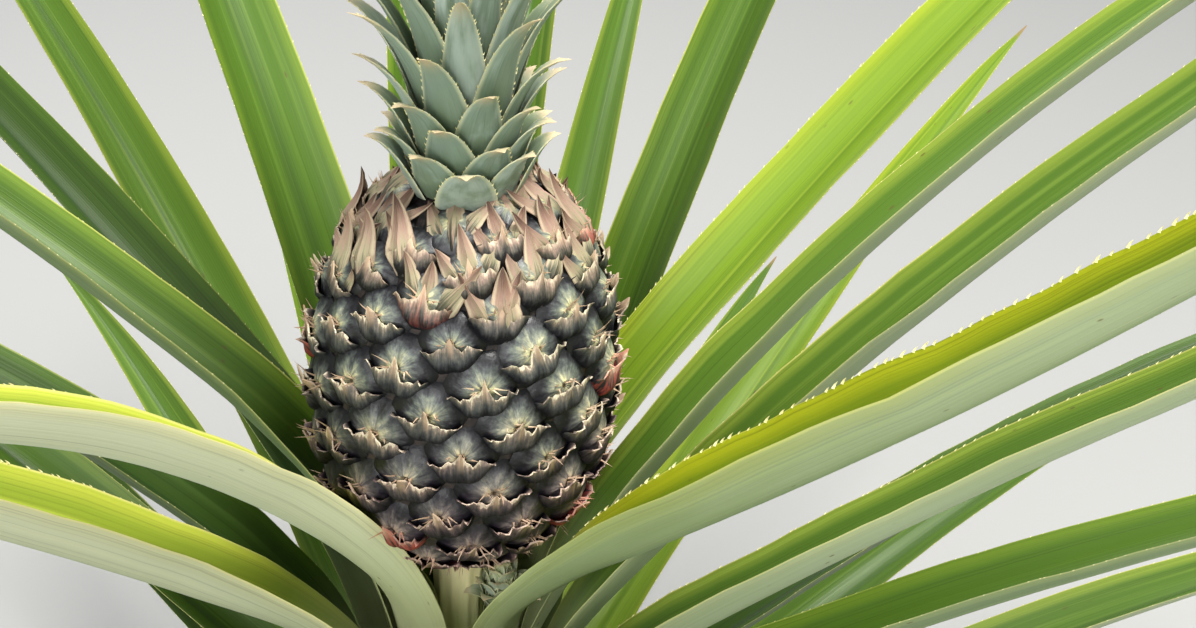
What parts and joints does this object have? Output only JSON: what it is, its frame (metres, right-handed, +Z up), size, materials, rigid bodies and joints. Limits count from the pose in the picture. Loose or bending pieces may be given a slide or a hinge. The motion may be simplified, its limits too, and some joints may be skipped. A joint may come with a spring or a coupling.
{
  "type": "fruiting pineapple plant",
  "caption": "Pineapple plant rooted in the ground: short stem, spiral rosette of long gutter leaves, ripening fruit on its stalk with a leafy crown on top.",
  "frame": {"origin": "middle of the flat cut under the stem, at ground level", "axes": "+Z up out of the level ground; the picture is taken looking along +Y and down, with +X to its right"},
  "size_m": [1.2281, 1.2691, 0.7885],
  "materials": {
    "stem": "rough, with old leaf scars",
    "leaf": "satin, silvery bloom beneath",
    "bract": "satin",
    "stalk": "waxy",
    "fruit_rind": "waxy, blue-grey bloom",
    "crown_leaf": "matt, blue-green bloom",
    "bud": "waxy"
  },
  "bodies": {
    "root": {"bract_1": "bract", "bract_2": "bract", "bract_3": "bract", "bract_4": "bract", "crown": "crown_leaf", "fruit": "fruit_rind", "fruit_stalk": "stalk", "leaf_01": "leaf", "leaf_02": "leaf", "leaf_03": "leaf", "leaf_04": "leaf", "leaf_05": "leaf", "leaf_06": "leaf", "leaf_07": "leaf", "leaf_08": "leaf", "leaf_09": "leaf", "leaf_10": "leaf", "leaf_11": "leaf", "leaf_12": "leaf", "leaf_13": "leaf", "leaf_14": "leaf", "leaf_15": "leaf", "leaf_16": "leaf", "leaf_17": "leaf", "leaf_18": "leaf", "leaf_19": "leaf", "leaf_20": "leaf", "leaf_21": "leaf", "leaf_22": "leaf", "leaf_23": "leaf", "leaf_24": "leaf", "leaf_25": "leaf", "leaf_26": "leaf", "leaf_27": "leaf", "leaf_28": "leaf", "leaf_29": "leaf", "leaf_30": "leaf", "leaf_31": "leaf", "leaf_32": "leaf", "leaf_33": "leaf", "leaf_34": "leaf", "leaf_35": "leaf", "leaf_36": "leaf", "leaf_37": "leaf", "leaf_38": "leaf", "leaf_39": "leaf", "leaf_40": "leaf", "leaf_41": "leaf", "leaf_42": "leaf", "leaf_43": "leaf", "leaf_44": "leaf", "leaf_45": "leaf", "leaf_46": "leaf", "leaf_47": "leaf", "leaf_48": "leaf", "leaf_48_point": "leaf", "slip": "bud", "stem": "stem"}
  },
  "joints": []
}
